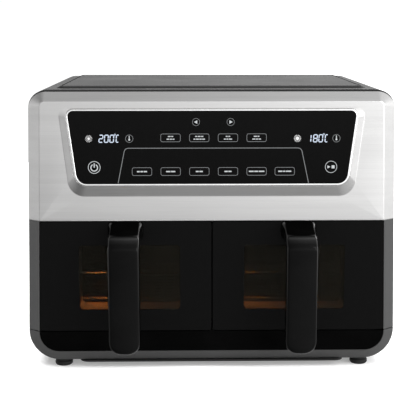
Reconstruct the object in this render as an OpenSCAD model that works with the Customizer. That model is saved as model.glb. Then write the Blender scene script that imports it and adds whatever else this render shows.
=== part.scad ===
// Dual-drawer air fryer, as an assembly of separate pieces.
// Millimetres. X runs left to right, Y from front to back, and Z up.
// The origin is on the resting surface, at the middle of the whole object's footprint.
// Depths along Y are counted from the front plane, and from_front() puts them in place.

/* [Housing] */
// Width of the housing across its base, before the corners round off
base_w = 409.5; // [404:0.5:412]
// Width of the housing across its top
top_w = 394; // [390:1:402]
// Height of the housing's top face
body_top = 310; // [308:1:316]
// Height of the housing's underside
body_bottom = 9; // [9:0.5:10]
// Depth from the front plane to the rear wall
body_d = 318; // [316:1:326]
// Corner radius at the top edges
top_r = 19; // [16:1:24]
// Corner radius at the bottom edges
bottom_r = 34; // [30:1:36]
// Width of the bevelled rim around the front
rim_w = 13; // [12:0.5:14]
// Depth of the bevelled rim
rim_d = 11; // [9:0.5:13]
// Radius of the flat front's top corners, inside the bevel
front_corner_r = 5; // [2:0.5:12]
// Thickness of the moulded housing walls
shell_t = 2.4; // [2:0.2:3]
// Step from the housing's top down to the fascia's top edge
fascia_drop = 1.4; // [0.8:0.1:2]
// Thickness of the pressed steel fascia
sheet_t = 1.4; // [1.2:0.1:1.6]

/* [Front] */
// Height of the seam between the base tray and the upper housing
seam_z = 45; // [44:0.5:46]
// Height of the fascia's lower edge
fascia_z = 169; // [168.5:0.5:170]
// Height of the control glass's top edge
panel_top = 288.5; // [286:0.5:290]
// Height of the control glass's bottom edge
panel_bottom = 211; // [209:0.5:213]
// Width of the control glass along its top edge
panel_top_w = 310; // [306:1:314]
// Width of the control glass along its bottom edge
panel_bottom_w = 288; // [285:1:291]
// Backward lean of the control glass, whose lower edge stands proud
panel_tilt = 6.6; // [5.4:0.2:7]

/* [Drawers] */
// Distance from the middle to each drawer's own centre line
bay_x = 94; // [93.5:0.5:94.5]
// Width of the gap between the two drawer fronts
middle_gap = 2; // [1.5:0.5:3]
// Running gap around a drawer front
front_gap = 0.7; // [0.6:0.1:0.8]
// Width of the window
window_w = 110.5; // [106:0.5:114]
// Distance from each drawer's own centre line to its window's, towards the middle
window_shift = 3.5; // [0:0.5:5]
// Height of the window's lower edge
window_bottom = 69.4; // [67:0.2:71]
// Height of the window's upper edge
window_top = 142; // [138:0.5:146]
// Thickness of a drawer front, pane included
door_d = 32; // [30:1:33]
// Outside width of a basket
basket_w = 154; // [150:1:155]
// Depth from the front plane to the basket's rear wall
basket_back = 262; // [256:1:266]
// Height of the basket's rim
basket_top = 163; // [161:1:164]
// Height of the basket's underside
basket_bottom = 50; // [49.5:0.5:51]

/* [Handles] */
// How far a handle stands in front of the drawers
handle_d = 51; // [48:1:54]
// Width of a handle's grip
handle_w = 33.5; // [32:0.5:35]
// Height of a handle's lower end
handle_bottom = 32.3; // [31:0.1:36]
// Height of a handle's neck where it meets the drawer
handle_top = 168.2; // [166:0.1:168.4]
// Thickness of the grip from front to back
grip_t = 17; // [16:0.5:18]

/* [Hidden] */

left = -1;
right = 1;
eps = 0.01;
skin = 0.2;
big = 600;
$fn = 64;

// Rear bumpers set the object's last millimetres of depth, and the handles its first.
spacer_d = 6;
front_y = handle_d - (handle_d + body_d + spacer_d) / 2;

// Housing
rear_start = body_d - 12;
wrap_front = rim_d + 1.2;
pan_z = 6.8;
foot_x = 167.5;
foot_r = 10;
foot_front = 24;
foot_back = 290;
foot_spots = [for (x = [-foot_x, foot_x], d = [foot_front, foot_back]) [x, d]];

// Top plate
plate_w = 337;
plate_front = 48;
plate_back = 292;
plate_rise = 2.4;
plate_corner = 6;
plate_gap = 1.5;

// Control panel
trim_w = 2.4;
surround_side = 9.5;
surround_side_low = 9.5;
surround_foot = 14.5;
surround_head = 3.4;
panel_proud = 0.2;
glass_t = 3;
display_x = 112;
display_z = 259;
display_size = [34, 14];

// Drawer front layers, counted from the front plane
pane_t = 3;
flange_t = 1.4;
seal_t = 1.6;
clamp_t = 1.2;
flange_near = door_d + 0.05;
seal_near = flange_near + flange_t + 0.02;
glass_near = seal_near + seal_t + 0.02;
clamp_near = glass_near + pane_t + 0.02;
frame_near = door_d + 2;
frame_t = 3;

// Basket
basket_t = 1.5;
basket_r = 16;
rim_reach = 5.5;
rim_t = 2;
crisper_top = 62;
crisper_t = 2;

// Heating chambers
chamber_w = 174;
chamber_front = frame_near + frame_t + 0.2;
chamber_back = 276;
chamber_bottom = 46.6;
chamber_top = 207;
chamber_t = 1;
fan_depth = 156;
fan_r = 47;
deck_z = 210;
deck_t = 1.4;
shaft_r = 4;
shaft_bottom = 183;
shaft_top = 277;
shaft_clearance = 0.05;
motor_z = 217;
motor_h = 32;
motor_r = 29;
heater_z = 178;
heater_rings = [68, 55];
heater_r = 3.2;
heater_from = 97;
heater_turn = 326;
heater_stem_r = 2.6;
heater_inset = 3;
lead_hole_r = 5;
guard_z = 169.5;
lamp_depth = 62;
lamp_r = 9;
lamp_stem_r = 4.5;
switch_x = 5 - bay_x;
switch_z = 110;
plunger_r = 1.3;

// Rear wall
gland_x = 130;
gland_z = 30;
gland_r = 7.4;
cord_r = 3.75;
outlet_z = 190;
outlet_w = 70;
outlet_h = 26;
outlet_near = 276.2;
spacer_x = 110;
spacer_r = 10;
spacer_heights = [60, 284];
rear_screw_x = 186;
rear_screw_spots = [for (x = [-rear_screw_x, rear_screw_x], z = [70, 170, 262]) [x, z]];
lug_half = 7;
screw_r = 1.9;
screw_hole_r = 2.1;
screw_head_r = 3.8;

// ---- Outlines in the XZ plane ----

// Points along an arc
function arc(cx, cz, r, from, to, n = 8) =
    [for (i = [0:n]) let(a = from + (to - from) * i / n) [cx + r * cos(a), cz + r * sin(a)]];

// An outline with leaning sides: half widths at the bottom and top, heights, and corner radii
function sides(bottom_w, top_w, bottom, top, bottom_r, top_r) =
    [bottom_w / 2, top_w / 2, bottom, top, bottom_r, top_r];

function lean(p) = atan((p[1] - p[0]) / (p[3] - p[2]));

// The same outline drawn d further out, or further in where d is negative
function grow(p, d) = let(s = lean(p)) [
    p[0] - d * tan(s) + d / cos(s), p[1] + d * tan(s) + d / cos(s),
    p[2] - d, p[3] + d, p[4] + d, p[5] + d
];

function mirrored(points) = [for (i = [len(points) - 1:-1:0]) [-points[i][0], points[i][1]]];

// The outline's points, with its corners rounded
function rounded(p) = let(
    s = lean(p),
    bottom_x = p[0] + (p[4] * sin(s) - p[4]) / cos(s),
    top_x = p[0] + ((p[3] - p[5] - p[2]) * sin(s) - p[5]) / cos(s),
    half = concat(
        arc(bottom_x, p[2] + p[4], p[4], -90, -s),
        arc(top_x, p[3] - p[5], p[5], -s, 90)
    )
) concat(half, mirrored(half));

// A rectangle with four equal rounded corners, for shapes drawn in plan
function round_box(x0, y0, x1, y1, r) = concat(
    arc(x1 - r, y0 + r, r, -90, 0), arc(x1 - r, y1 - r, r, 0, 90),
    arc(x0 + r, y1 - r, r, 90, 180), arc(x0 + r, y0 + r, r, 180, 270)
);

housing = sides(base_w, top_w, body_bottom, body_top, bottom_r, top_r);
panel = sides(panel_bottom_w, panel_top_w, panel_bottom, panel_top, 11, 5.5);
surround = sides(
    panel_bottom_w + 2 * surround_side_low, panel_top_w + 2 * surround_side,
    panel_bottom - surround_foot, panel_top + surround_head, 18, 8
);
window = sides(window_w, window_w, window_bottom, window_top, 4, 4);

// ---- Shape helpers ----

module from_front() translate([0, front_y, 0]) children();

// A shape for the bay on the right, or its mirror image for the bay on the left
module in_bay(side) from_front() mirror([side == left ? 1 : 0, 0, 0]) translate([bay_x, 0, 0]) children();

module in_both_bays() for (side = [left, right]) in_bay(side) children();

// A plate with an XZ outline, from one depth to another
module slab(points, near, far) translate([0, far, 0]) rotate([90, 0, 0]) {
    linear_extrude(far - near) polygon(points);
}

// A plate with an XY outline, from one height to another
module plate(points, bottom, top) translate([0, 0, bottom]) linear_extrude(top - bottom) polygon(points);

// A box given by its lowest and highest corners
module block(low, high) translate(low) cube(high - low);

// A straight-sided blend between two outlines at two depths
module blend(near_outline, near, far_outline, far) hull() {
    slab(rounded(near_outline), near, near + eps);
    slab(rounded(far_outline), far - eps, far);
}

// A round bar along Y
module bar_y(x, z, r, near, far) translate([x, far, z]) rotate([90, 0, 0]) cylinder(r = r, h = far - near);

// A round bar along Z
module bar_z(x, y, r, bottom, top) translate([x, y, bottom]) cylinder(r = r, h = top - bottom);

// Everything between two heights
module between(bottom, top) intersection() {
    children();
    block([-big, -big, bottom], [big, big, top]);
}

// The solid bevelled rim around the front opening
module rim() difference() {
    blend(grow(housing, -rim_w), 0, housing, rim_d);
    slab(rounded(grow(housing, -rim_w)), -1, rim_d + 1);
}

// A tube of the housing's outline
module housing_tube(near, far) difference() {
    slab(rounded(housing), near, far);
    slab(rounded(grow(housing, -shell_t)), near - 1, far + 1);
}

// The plane of the control glass: children are drawn upright, and lean back about the glass's top edge
module on_panel() translate([0, -panel_proud, panel_top]) rotate([-panel_tilt, 0, 0]) {
    translate([0, 0, -panel_top]) children();
}

// ---- Fascia and controls ----

// The flat front's outline, whose top corners are tighter than the housing's
function front_edge(inset) = let(p = grow(housing, -rim_w - inset)) [
    p[0], p[1], p[2], p[3], p[4], front_corner_r
];

// The fascia's rear edge, which meets the housing's sides and stops short of its top
function fascia_edge(inset) = let(p = grow(housing, -inset), widen = fascia_drop * tan(lean(p))) [
    p[0], p[1] - widen, p[2], p[3] - fascia_drop, p[4], p[5]
];

// The wedge around the control glass, flush at its head and proud at its foot
module wedge(inset, depth) hull() {
    slab(rounded(grow(surround, -inset)), depth, depth + 1);
    on_panel() slab(rounded(grow(panel, trim_w + 1 - 0.6 * inset)), 0.8 * inset, 0.8 * inset + skin);
}

module fascia() color("silver") from_front() difference() {
    between(fascia_z, big) union() {
        difference() {
            blend(front_edge(0), 0, fascia_edge(0), rim_d);
            blend(front_edge(0.4 * sheet_t), sheet_t, fascia_edge(1.4 * sheet_t), rim_d + eps);
        }
        wedge(0, 0.1);
    }
    wedge(sheet_t, sheet_t);
    on_panel() slab(rounded(grow(panel, trim_w)), -1, 4);
}

module panel_trim() color("gainsboro") from_front() on_panel() difference() {
    slab(rounded(grow(panel, trim_w - 0.1)), 0, sheet_t);
    slab(rounded(grow(panel, 0.05)), -1, sheet_t + 1);
}

module control_glass() color([0.03, 0.03, 0.035]) from_front() on_panel() slab(rounded(panel), 0.2, glass_t);

// Both displays' outlines, drawn in by inset, from one depth to another
module display_blocks(inset, near, far) for (x = [-display_x, display_x]) translate([x, 0, display_z]) {
    half_w = display_size[0] / 2 - inset;
    half_h = display_size[1] / 2 - inset;
    block([-half_w, near, -half_h], [half_w, far, half_h]);
}

module panel_carrier() color([0.08, 0.08, 0.08]) from_front() on_panel() {
    difference() {
        slab(rounded(grow(panel, 0.8)), glass_t + 0.1, glass_t + 2.5);
        display_blocks(0, 0, 20);
    }
    // Posts that the display board is screwed to
    for (x = [-125, -45, 45, 125], z = [228, 276]) {
        bar_y(x, z, 3, glass_t + 2.4, glass_t + 8);
    }
}

module display_board() color("darkgreen") from_front() on_panel() {
    slab(round_box(-136, 220, 136, 284, 3), glass_t + 8, glass_t + 9.6);
}

module display_modules() color([0.15, 0.15, 0.16]) from_front() on_panel() {
    display_blocks(0.4, glass_t + 0.1, glass_t + 8);
}

// ---- Outer housing ----

module top_opening(gap) plate(
    round_box(-plate_w / 2 - gap, plate_front - gap, plate_w / 2 + gap, plate_back + gap, plate_corner),
    body_top - 20, body_top + 20
);

module outer_wrap() color([0.27, 0.27, 0.28]) from_front() {
    difference() {
        between(seam_z + 0.3, big) housing_tube(wrap_front, rear_start);
        top_opening(plate_gap);
    }
    between(seam_z + 0.3, fascia_z - 0.2) rim();
    // Bridges from the rim's back face to the side walls
    between(seam_z + 0.3, fascia_z - 0.2) difference() {
        slab(rounded(housing), rim_d, wrap_front);
        slab(rounded(grow(housing, -rim_w)), 0, wrap_front + 1);
    }
    // Lugs that the rear cover is screwed to
    difference() {
        intersection() {
            slab(rounded(grow(housing, -shell_t / 2)), rear_start - 24, rear_start);
            for (s = rear_screw_spots) {
                block([s[0] - 20, 0, s[1] - lug_half], [s[0] + 20, body_d, s[1] + lug_half]);
            }
        }
        block([-rear_screw_x + lug_half, 0, 0], [rear_screw_x - lug_half, body_d, body_top]);
        for (s = rear_screw_spots) bar_y(s[0], s[1], screw_r + 0.05, 0, body_d);
    }
}

module top_plate() color([0.3, 0.3, 0.31]) from_front() {
    flange = 6;
    under = body_top - shell_t - 0.1;
    half = plate_w / 2;
    plate(round_box(-half, plate_front, half, plate_back, plate_corner), under, body_top + plate_rise);
    plate(
        round_box(-half - flange, plate_front - flange, half + flange, plate_back + flange, plate_corner),
        under - 2, under
    );
}

// Openings of the two air outlets in the rear wall
module outlet_openings(gap) for (x = [-bay_x, bay_x]) {
    block(
        [x - outlet_w / 2 - gap, 0, outlet_z - outlet_h / 2 - gap],
        [x + outlet_w / 2 + gap, body_d + 20, outlet_z + outlet_h / 2 + gap]
    );
}

module rear_cover() color([0.2, 0.2, 0.21]) from_front() {
    cover_near = rear_start + 0.2;
    edge = 5;
    difference() {
        union() {
            slab(rounded(housing), cover_near, body_d - edge);
            blend(housing, body_d - edge, grow(housing, -edge), body_d);
        }
        slab(rounded(grow(housing, -shell_t - 2)), cover_near - 1, body_d - shell_t - 0.6);
        outlet_openings(0.2);
        bar_y(gland_x, gland_z, gland_r + 0.2, body_d - 20, body_d + 1);
        for (s = rear_screw_spots) bar_y(s[0], s[1], screw_hole_r, body_d - 20, body_d + 1);
        // Cooling slots for the electronics, above the outlets
        for (row = [0:4], x = [-3:3]) {
            slot_z = 226 + row * 10;
            block([x * 26 - 10, body_d - 10, slot_z - 1.75], [x * 26 + 10, body_d + 1, slot_z + 1.75]);
        }
    }
}

// The rear cover's screws, and those that hold the feet
module housing_screws() color("dimgray") from_front() {
    for (s = rear_screw_spots) {
        bar_y(s[0], s[1], screw_r, body_d - 20, body_d);
        bar_y(s[0], s[1], screw_head_r, body_d, body_d + 1.8);
    }
    for (s = foot_spots) {
        bar_z(s[0], s[1], screw_r, 3, body_bottom + 8);
        bar_z(s[0], s[1], screw_head_r, 1, 3);
    }
}

module rear_spacers() color([0.1, 0.1, 0.1]) from_front() {
    for (x = [-spacer_x, spacer_x], z = spacer_heights) bar_y(x, z, spacer_r, body_d, body_d + spacer_d);
}

// Ducts that let hot air out of the chambers, with louvres across their mouths
module outlet_ducts() color([0.12, 0.12, 0.12]) in_both_bays() translate([0, 0, outlet_z]) {
    wall = 2;
    difference() {
        block([-outlet_w / 2, outlet_near, -outlet_h / 2], [outlet_w / 2, body_d - 1, outlet_h / 2]);
        block(
            [-outlet_w / 2 + wall, outlet_near - 1, -outlet_h / 2 + wall],
            [outlet_w / 2 - wall, body_d, outlet_h / 2 - wall]
        );
    }
    for (i = [-2:2]) {
        block([-outlet_w / 2 + wall, body_d - 9, i * 4 - 0.7], [outlet_w / 2 - wall, body_d - 2, i * 4 + 0.7]);
    }
}

module cord_gland() color([0.06, 0.06, 0.06]) from_front() difference() {
    union() {
        bar_y(gland_x, gland_z, gland_r, body_d - 14, body_d);
        bar_y(gland_x, gland_z, 10, body_d, body_d + 2.5);
        bar_y(gland_x, gland_z, 6.2, body_d + 2.5, body_d + 5.5);
    }
    bar_y(gland_x, gland_z, cord_r, body_d - 20, body_d + 10);
}

// ---- Base ----

module base_tray() color([0.27, 0.27, 0.28]) from_front() {
    wall_back = rear_start;
    difference() {
        union() {
            between(-big, seam_z) rim();
            between(-big, seam_z) difference() {
                slab(rounded(housing), rim_d, wall_back);
                slab(rounded(grow(housing, -shell_t)), rim_d + 3, wall_back + 1);
                slab(rounded(grow(housing, -rim_w)), 0, rim_d + 4);
            }
            // Posts that carry the heating chambers
            for (x = [-150, -40, 40, 150], d = [60, 250]) {
                bar_z(x, d, 6, body_bottom + shell_t, chamber_bottom - 0.1);
            }
        }
        for (s = foot_spots) bar_z(s[0], s[1], screw_hole_r, 0, body_bottom + 20);
    }
}

module bottom_pan() color([0.05, 0.05, 0.05]) from_front() difference() {
    plate(round_box(-148, 8, 148, 304, 10), pan_z, body_bottom);
    for (row = [0:7], x = [-2:2]) {
        block([x * 44 - 16, 120 + row * 14, pan_z - 1], [x * 44 + 16, 125 + row * 14, body_bottom + 1]);
    }
}

module feet() color([0.04, 0.04, 0.04]) from_front() for (s = foot_spots) difference() {
    union() {
        bar_z(s[0], s[1], foot_r, 0, 5);
        bar_z(s[0], s[1], foot_r - 1.5, 5, body_bottom);
    }
    bar_z(s[0], s[1], screw_hole_r, -1, body_bottom + 1);
    bar_z(s[0], s[1], screw_head_r + 0.4, -1, 3);
}

module front_sill() color([0.02, 0.02, 0.02]) from_front() between(body_bottom, seam_z - 0.4) {
    slab(rounded(grow(housing, -rim_w - 0.15)), 0, 3);
}

// ---- Front frame, rails and interlocks ----

module front_frame() color([0.06, 0.06, 0.06]) {
    shelf_t = 2;
    half = 182;
    difference() {
        from_front() block([-half, frame_near, seam_z], [half, frame_near + frame_t, fascia_z + shelf_t]);
        in_both_bays() {
            block([-84, 0, 48.8], [84, 100, 166]);
            bar_y(switch_x, switch_z, plunger_r + 0.3, 0, 100);
        }
    }
    // Shelves above and below the drawer fronts, behind the fascia and the sill
    from_front() block([-half, 3.2, fascia_z + 0.2], [half, frame_near, fascia_z + 0.2 + shelf_t]);
    from_front() block([-half, 3.2, seam_z - 2.6], [half, frame_near, seam_z - 0.4]);
    from_front() block([-half, frame_near, seam_z - 2.6], [half, frame_near + frame_t, seam_z]);
}

// Ledges inside the chambers that the baskets' rims slide along
module drawer_rails() color("lightgray") in_both_bays() for (s = [0, 1]) mirror([s, 0, 0]) {
    ledge_top = basket_top - rim_t - 0.3;
    block(
        [basket_w / 2 + 1.2, chamber_front + 4, ledge_top - 3],
        [chamber_w / 2 - chamber_t - 0.05, basket_back + 4, ledge_top]
    );
}

// Micro-switches that cut the power when a drawer is pulled out
module drawer_switches() color([0.1, 0.1, 0.1]) in_both_bays() {
    block([switch_x - 4, chamber_front, switch_z - 10], [switch_x + 1.4, chamber_front + 20, switch_z + 8]);
    bar_y(switch_x, switch_z, plunger_r, flange_near + flange_t + 0.3, chamber_front);
}

// ---- Heating chambers ----

module shaft_hole(r) bar_z(0, fan_depth, r, 0, big);

// Where the heater's two upright ends pass through the chamber's roof
lead_angle = heater_from + heater_inset;
lead_spots = [for (r = heater_rings) [r * cos(lead_angle), fan_depth + r * sin(lead_angle)]];

module roof_holes() {
    shaft_hole(8);
    for (s = lead_spots) bar_z(s[0], s[1], lead_hole_r, 180, big);
    bar_z(0, lamp_depth, lamp_stem_r + 0.5, 180, big);
}

module chamber(side) color("lightgray") in_bay(side) {
    half = chamber_w / 2;
    difference() {
        block([-half, chamber_front, chamber_bottom], [half, chamber_back, chamber_top]);
        block(
            [-half + chamber_t, chamber_front - 1, chamber_bottom + chamber_t],
            [half - chamber_t, chamber_back - chamber_t, chamber_top - chamber_t]
        );
        roof_holes();
        // The way out for hot air, into the outlet duct
        bar_y(0, outlet_z, 10, chamber_back - 5, chamber_back + 5);
    }
}

// Two rings of tube around the fan, joined at one end, with both of the other ends turned up
module heater(side) color([0.35, 0.33, 0.32]) in_bay(side) {
    translate([0, fan_depth, heater_z]) {
        for (r = heater_rings) rotate([0, 0, heater_from]) {
            rotate_extrude(angle = heater_turn) translate([r, 0]) circle(r = heater_r);
        }
        rotate([0, 0, heater_from + heater_turn - heater_inset]) translate([heater_rings[1], 0, 0]) {
            rotate([0, 90, 0]) cylinder(r = heater_stem_r, h = heater_rings[0] - heater_rings[1]);
        }
    }
    for (s = lead_spots) bar_z(s[0], s[1], heater_stem_r, heater_z, deck_z + 8);
}

// A sheet of slots below the heater, with tabs to the chamber's walls
module heater_guard(side) color("silver") in_bay(side) translate([0, fan_depth, guard_z]) {
    guard_r = 82;
    difference() {
        cylinder(r = guard_r, h = 1);
        for (r = [16, 28, 40, 52, 64, 76]) difference() {
            translate([0, 0, -1]) cylinder(r = r, h = 3);
            translate([0, 0, -2]) cylinder(r = r - 8, h = 5);
            for (a = [0:45:135]) rotate([0, 0, a]) translate([-guard_r, -2, -2]) cube([2 * guard_r, 4, 5]);
        }
    }
    tab_end = chamber_w / 2 - chamber_t - 0.1;
    difference() {
        block([-tab_end, -6, 0], [tab_end, 6, 1]);
        translate([0, 0, -1]) cylinder(r = guard_r - 1, h = 3);
    }
}

module insulation() color("beige") difference() {
    in_both_bays() block([-84, 46, chamber_top + 0.1], [84, 272, deck_z - 0.1]);
    in_both_bays() roof_holes();
}

module motor_deck() color("lightgray") difference() {
    from_front() block([-190, 40, deck_z], [190, 300, deck_z + deck_t]);
    in_both_bays() roof_holes();
}

module motor(side) color([0.55, 0.55, 0.57]) in_bay(side) difference() {
    union() {
        bar_z(0, fan_depth, motor_r, motor_z, motor_z + motor_h);
        bar_z(0, fan_depth, 11, motor_z + motor_h, motor_z + motor_h + 7);
        // Three legs that stand on the deck
        for (a = [90, 210, 330]) translate([0, fan_depth, 0]) rotate([0, 0, a]) {
            bar_z(motor_r + 3, 0, 4, deck_z + deck_t, motor_z + 6);
            block([motor_r - 3, -3, motor_z], [motor_r + 3, 3, motor_z + 4]);
        }
    }
    shaft_hole(shaft_r + shaft_clearance);
}

// ---- Fans ----

module at_fan(side) from_front() translate([side * bay_x, fan_depth, 0]) children();

module shaft(side) color("silver") at_fan(side) bar_z(0, 0, shaft_r, shaft_bottom, shaft_top);

// A disc with upright blades around a hub, pressed on the shaft
module impeller(disc_z, blade_bottom, blade_top, hub_bottom, hub_top, r, blades) difference() {
    union() {
        bar_z(0, 0, r, disc_z, disc_z + 1);
        bar_z(0, 0, 11, hub_bottom, hub_top);
        for (i = [0:blades - 1]) rotate([0, 0, i * 360 / blades]) translate([14, 0, 0]) rotate([0, 0, 14]) {
            block([0, -0.6, blade_bottom], [r - 17, 0.6, blade_top]);
        }
    }
    bar_z(0, 0, shaft_r, 0, big);
}

module convection_fan(side) color("lightgray") at_fan(side) impeller(201, 187, 201.5, 187, 204, fan_r, 10);

module cooling_fan(side) color([0.9, 0.9, 0.88]) at_fan(side) impeller(262, 262.5, 274, 260, 274, 40, 9);

// ---- Electronics ----

module power_board() color("darkgreen") from_front() difference() {
    block([-120, 216, 222], [120, 296, 223.6]);
    for (x = [-112, 112], d = [224, 288]) bar_z(x, d, 1.7, 0, big);
}

module power_components() color([0.13, 0.13, 0.14]) from_front() {
    board_top = 223.6;
    block([-100, 230, board_top], [-62, 266, board_top + 30]);
    for (x = [-44, -18, 8]) block([x, 236, board_top], [x + 20, 252, board_top + 16]);
    for (x = [50, 74, 96]) bar_z(x, 246, 9, board_top, board_top + 26);
    block([-30, 268, board_top], [60, 282, board_top + 9]);
    // Spacers between the board and the deck
    for (x = [-112, 112], d = [224, 288]) bar_z(x, d, 4, deck_z + deck_t, 222);
}

module temperature_probes() color("silver") in_both_bays() {
    bar_y(74, 192, 2, chamber_back - 60, chamber_back - chamber_t - 0.1);
}

module chamber_lamps() color("orange") in_both_bays() {
    under_roof = chamber_top - chamber_t - 0.1;
    bar_z(0, lamp_depth, lamp_r, under_roof - 9, under_roof);
    bar_z(0, lamp_depth, lamp_stem_r, under_roof, deck_z + 8);
}

// ---- Drawers ----

// A drawer front's outline in its own bay, from one depth to another
module door_block(gap, near, far) intersection() {
    translate([-bay_x, 0, 0]) slab(rounded(grow(housing, -rim_w - gap)), near, far);
    block([middle_gap / 2 + gap - front_gap - bay_x, near - 1, seam_z + gap], [big, far + 1, fascia_z - gap]);
}

module window_block(extra, near, far) translate([-window_shift, 0, 0]) {
    slab(rounded(grow(window, extra)), near, far);
}

neck_screws = [for (x = [-10, 10]) [x, 159]];
neck_screw_hole_r = 2.3;

module drawer_pane(side) color([0.02, 0.02, 0.02]) in_bay(side) difference() {
    door_block(front_gap, 0, pane_t);
    for (s = neck_screws) bar_y(s[0], s[1], neck_screw_hole_r, -1, pane_t + 1);
}

module drawer_frame(side) color([0.05, 0.05, 0.05]) in_bay(side) {
    near = pane_t + 0.05;
    difference() {
        door_block(front_gap + 0.2, near, door_d);
        difference() {
            door_block(front_gap + 2.6, near + 2.6, door_d + 1);
            window_block(3, near, door_d + 2);
        }
        window_block(1, near - 1, door_d + 1);
        for (s = neck_screws) bar_y(s[0], s[1], neck_screw_hole_r, near - 1, near + 4);
    }
}

// The bright tunnel between the outer pane and the basket's window
module window_liner(side) color("silver") in_bay(side) difference() {
    window_block(0.9, pane_t + 0.1, door_d - 0.1);
    window_block(0, 0, door_d + 1);
}

module window_seal(side) color([0.1, 0.1, 0.1]) in_bay(side) difference() {
    window_block(5, seal_near, seal_near + seal_t);
    window_block(0.3, 0, door_d + 20);
}

module window_glass(side) color([0.6, 0.6, 0.6, 0.4]) in_bay(side) {
    window_block(5, glass_near, glass_near + pane_t);
}

module window_clamp(side) color("silver") in_bay(side) difference() {
    window_block(7, clamp_near, clamp_near + clamp_t);
    window_block(0.6, 0, door_d + 20);
}

module basket(side) color([0.12, 0.12, 0.125]) in_bay(side) {
    half = basket_w / 2;
    front = flange_near + flange_t;
    near = front - basket_r;
    inner_r = basket_r - basket_t;
    reach = half + rim_reach;
    difference() {
        union() {
            plate(round_box(-half, near, half, basket_back, basket_r), basket_bottom, basket_top);
            plate(
                round_box(-reach, near, reach, basket_back + rim_reach, basket_r),
                basket_top - rim_t, basket_top
            );
        }
        plate(
            round_box(-half + basket_t, near - basket_r, half - basket_t, basket_back - basket_t, inner_r),
            basket_bottom + basket_t, basket_top + 1
        );
        block([-big, -big, 0], [big, front - eps, big]);
    }
    // The front wall, which carries the window and is fixed to the drawer frame
    difference() {
        block([-half - 13, flange_near, basket_bottom - 2], [half + 13, front, basket_top + 3]);
        window_block(0.2, 0, door_d + 20);
    }
}

module crisper_plate(side) color([0.14, 0.14, 0.145]) in_bay(side) {
    half = basket_w / 2 - basket_t - 1.5;
    near = clamp_near + clamp_t + 4;
    far = basket_back - basket_t - 2;
    difference() {
        plate(round_box(-half, near, half, far, 12), crisper_top - crisper_t, crisper_top);
        for (row = [0:12], x = [-4:4]) {
            slot_d = near + 14 + row * 15;
            block([x * 15 - 4.5, slot_d, 0], [x * 15 + 4.5, slot_d + 5, big]);
        }
    }
    // A raised rim, and legs that stand on the basket's floor
    difference() {
        plate(round_box(-half, near, half, far, 12), crisper_top, crisper_top + 4);
        plate(round_box(-half + 2, near + 2, half - 2, far - 2, 10), 0, big);
    }
    for (x = [-half + 8, half - 8], d = [near + 8, far - 8]) {
        bar_z(x, d, 3, basket_bottom + basket_t + 0.05, crisper_top - crisper_t);
    }
}

// ---- Handles ----

function unit(v) = v / norm(v);

// The corner at b between a and c, eased from a distance before it to the same distance after it
function eased(a, b, c, reach, n = 5) = let(
    start = b + reach * unit(a - b),
    end = b + reach * unit(c - b)
) [for (i = [0:n]) let(t = i / n) (1 - t) * (1 - t) * start + 2 * t * (1 - t) * b + t * t * end];

// The handle's side profile, as depth and height: its neck slopes to a crease and then a steeper shoulder
neck_h = 18;
grip_back = -handle_d + grip_t;
handle_path = [
    [0, handle_top], [-12, handle_top - 1], [-handle_d + 11.5, handle_top - 7.5], [-handle_d, handle_top - 17],
    [-handle_d, handle_bottom], [grip_back, handle_bottom], [grip_back, handle_top - neck_h],
    [0, handle_top - neck_h]
];
handle_bends = [6, 2.2, 5, 7.8, 7, 13];
handle_profile = concat(
    [handle_path[0]],
    [for (i = [1:6]) each eased(handle_path[i - 1], handle_path[i], handle_path[i + 1], handle_bends[i - 1])],
    [handle_path[7]]
);
neck_w = 38.5;
neck_root = 16;

module side_extrude(points, half) translate([-half, 0, 0]) rotate([90, 0, 90]) {
    linear_extrude(2 * half) polygon(points);
}

// A grip on a neck that widens where it meets the drawer
module handle(side) color([0.04, 0.04, 0.04]) in_bay(side) difference() {
    union() {
        intersection() {
            side_extrude(handle_profile, handle_w / 2);
            slab(rounded(sides(handle_w, handle_w, handle_bottom, handle_top + 1, 13, 1)), -handle_d - 1, 0);
        }
        blend(
            sides(handle_w, handle_w, handle_top - neck_h, handle_top - 2, 4, 6), -neck_root,
            sides(neck_w, neck_w, handle_top - neck_h, handle_top, 4, 6), 0
        );
    }
    for (s = neck_screws) bar_y(s[0], s[1], screw_r + 0.05, -neck_root, 1);
}

// Screws that hold the handle from inside the drawer front
module handle_screws(side) color("dimgray") in_bay(side) for (s = neck_screws) {
    bar_y(s[0], s[1], screw_r, -neck_root + 1, pane_t + 2.8);
    bar_y(s[0], s[1], screw_head_r, pane_t + 2.8, pane_t + 4.8);
}

fascia();
panel_trim();
control_glass();
panel_carrier();
display_board();
display_modules();
outer_wrap();
top_plate();
rear_cover();
rear_spacers();
housing_screws();
outlet_ducts();
cord_gland();
base_tray();
bottom_pan();
feet();
front_sill();
front_frame();
drawer_rails();
drawer_switches();
insulation();
motor_deck();
power_board();
power_components();
temperature_probes();
chamber_lamps();
chamber(left);  // left_chamber
heater(left);  // left_heater
heater_guard(left);  // left_heater_guard
motor(left);  // left_motor
shaft(left);  // left_shaft
convection_fan(left);  // left_convection_fan
cooling_fan(left);  // left_cooling_fan
drawer_pane(left);  // left_drawer_pane
drawer_frame(left);  // left_drawer_frame
window_liner(left);  // left_window_liner
window_glass(left);  // left_window_glass
window_seal(left);  // left_window_seal
window_clamp(left);  // left_window_clamp
basket(left);  // left_basket
handle(left);  // left_handle
handle_screws(left);  // left_handle_screws
crisper_plate(left);  // left_crisper_plate
chamber(right);  // right_chamber
heater(right);  // right_heater
heater_guard(right);  // right_heater_guard
motor(right);  // right_motor
shaft(right);  // right_shaft
convection_fan(right);  // right_convection_fan
cooling_fan(right);  // right_cooling_fan
drawer_pane(right);  // right_drawer_pane
drawer_frame(right);  // right_drawer_frame
window_liner(right);  // right_window_liner
window_glass(right);  // right_window_glass
window_seal(right);  // right_window_seal
window_clamp(right);  // right_window_clamp
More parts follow.
